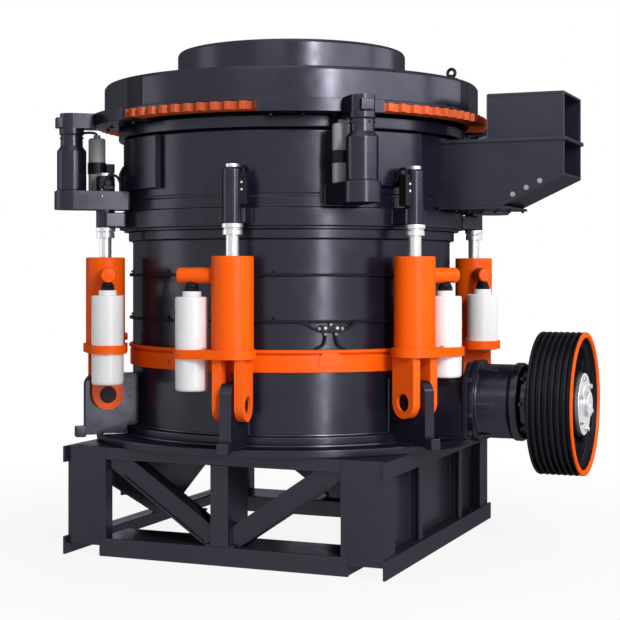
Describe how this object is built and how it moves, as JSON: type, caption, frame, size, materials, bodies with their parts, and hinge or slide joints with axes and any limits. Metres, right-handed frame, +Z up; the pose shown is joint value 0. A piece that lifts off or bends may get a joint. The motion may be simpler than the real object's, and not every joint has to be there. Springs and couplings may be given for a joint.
{
  "type": "hydraulic cone crusher",
  "caption": "Hydraulic cone crusher on a welded steel stand, with tramp release cylinders around the barrel, a screw-adjusted bowl and a grooved drive sheave.",
  "frame": {"origin": "on the crusher's vertical axis at floor level, the centre of the four anchor bolts", "axes": "+Z up; +X along the countershaft, out towards the sheave; -Y is the front"},
  "size_m": [2.762, 2.4132, 2.679],
  "materials": {
    "frame_paint": "semigloss dark blue-grey machine paint",
    "orange_paint": "semigloss orange machine paint",
    "white_paint": "gloss white paint",
    "light_grey_paint": "satin light grey paint",
    "black_rubber": "satin black hydraulic hose",
    "bright_steel": "bright plated and machined steel",
    "liner_steel": "cast manganese steel, as cast",
    "sheave_iron": "black painted grooved iron"
  },
  "bodies": {
    "base": {"stand_side_left": "frame_paint", "stand_side_right": "frame_paint", "stand_rails": "frame_paint", "stand_truss_front": "frame_paint", "stand_truss_back": "frame_paint", "stand_columns": "frame_paint", "deck_plate": "frame_paint", "main_frame": "frame_paint", "frame_hub": "frame_paint", "support_band": "orange_paint", "cylinder_lugs": "frame_paint", "cylinder_pins": "sheave_iron", "tramp_cylinder_1": "orange_paint", "tramp_cylinder_2": "orange_paint", "tramp_cylinder_3": "orange_paint", "tramp_cylinder_4": "orange_paint", "tramp_cylinder_5": "orange_paint", "tramp_cylinder_6": "orange_paint", "accumulators": "white_paint", "accumulator_feeds": "orange_paint", "accumulator_straps": "orange_paint", "hose_ring": "black_rubber", "hose_junctions": "black_rubber", "countershaft_housing": "frame_paint", "mantle": "liner_steel", "distributor_plate": "liner_steel"},
    "upper_frame": {"adjusting_ring": "frame_paint", "rod_lugs": "frame_paint", "tramp_rods": "bright_steel", "rod_sleeves": "frame_paint", "clamp_brackets": "frame_paint", "clamp_cylinders": "frame_paint", "clamp_accumulators": "light_grey_paint", "clamp_arms": "frame_paint", "gear_guards": "frame_paint", "clamp_ring": "frame_paint", "drive_box": "frame_paint"},
    "bowl": {"adjusting_cap": "frame_paint", "feed_ring": "frame_paint", "drive_gear_ring": "orange_paint", "bowl_liner": "liner_steel", "lifting_lugs": "sheave_iron"},
    "drive_sheave": {"sheave": "sheave_iron", "sheave_bush": "bright_steel", "countershaft": "bright_steel"}
  },
  "joints": [
    {"name": "tramp_release_lift", "type": "slide", "parent": "base", "child": "upper_frame", "axis": [0, 0, 1], "range_m": [0, 0.09]},
    {"name": "bowl_turn", "type": "hinge", "parent": "upper_frame", "child": "bowl", "pos_m": [0, 0, 2.3], "axis": [0, 0, 1], "continuous": true},
    {"name": "sheave_spin", "type": "hinge", "parent": "base", "child": "drive_sheave", "pos_m": [1.3, 0, 0.79], "axis": [1, 0, 0], "continuous": true}
  ]
}
